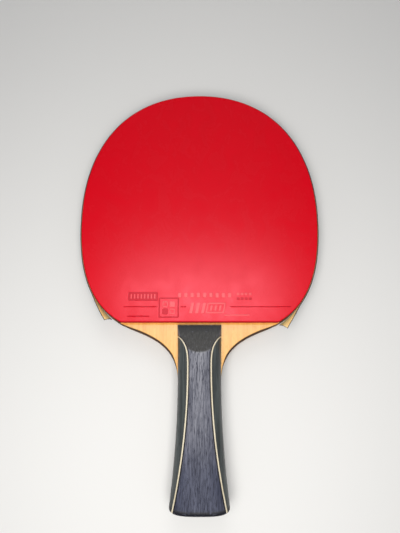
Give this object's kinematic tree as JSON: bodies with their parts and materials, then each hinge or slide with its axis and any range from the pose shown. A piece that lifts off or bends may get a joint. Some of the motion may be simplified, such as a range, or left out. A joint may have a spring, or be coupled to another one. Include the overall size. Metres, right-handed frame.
{
  "type": "table tennis paddle",
  "caption": "Table tennis paddle: plywood blade with smooth red rubber on one face and black on the other, edge tape, and a flared laminated handle for a shakehand grip.",
  "frame": {"origin": "under the middle of the paddle's box, on the level that the back of the handle touches when the paddle lies with its red face up", "axes": "+Y from the handle to the tip of the head, +Z out of the red face, +X to the right as the red face is seen with the handle towards the viewer"},
  "size_m": [0.1492, 0.2592, 0.0246],
  "materials": {
    "core_wood": "core wood, straight grain, its cut edge browned by handling",
    "inner_veneer_wood": "dark dyed veneer, seen only at its cut edge",
    "fibre": "resin-bonded dark fibre cloth, seen only at its edge",
    "face_veneer_wood": "thin satin lacquer over straight golden grain",
    "sponge": "matte open-celled sponge",
    "red_rubber": "smooth tacky sheet with a soft gloss",
    "black_rubber": "smooth tacky sheet with a soft gloss",
    "edge_tape": "black cloth-backed tape, tan adhesive on its inner face",
    "grip_centre_wood": "blue-grey dyed wood, streaky grain, satin",
    "dark_line": "thin black dyed veneer",
    "pale_inlay": "thin pale veneer, satin",
    "side_block_wood": "dark grey-green dyed wood, satin"
  },
  "bodies": {
    "root": {"core_ply": "core_wood", "front_inner_veneer": "inner_veneer_wood", "back_inner_veneer": "inner_veneer_wood", "front_fibre_sheet": "fibre", "back_fibre_sheet": "fibre", "front_face_veneer": "face_veneer_wood", "back_face_veneer": "face_veneer_wood", "front_sponge": "sponge", "back_sponge": "sponge", "front_topsheet": "red_rubber", "back_topsheet": "black_rubber", "edge_tape": "edge_tape", "front_grip_centre": "grip_centre_wood", "front_dark_line_left": "dark_line", "front_dark_line_right": "dark_line", "front_pale_inlay_left": "pale_inlay", "front_pale_inlay_right": "pale_inlay", "front_side_block_left": "side_block_wood", "front_side_block_right": "side_block_wood", "back_grip_centre": "grip_centre_wood", "back_dark_line_left": "dark_line", "back_dark_line_right": "dark_line", "back_pale_inlay_left": "pale_inlay", "back_pale_inlay_right": "pale_inlay", "back_side_block_left": "side_block_wood", "back_side_block_right": "side_block_wood"}
  },
  "joints": []
}
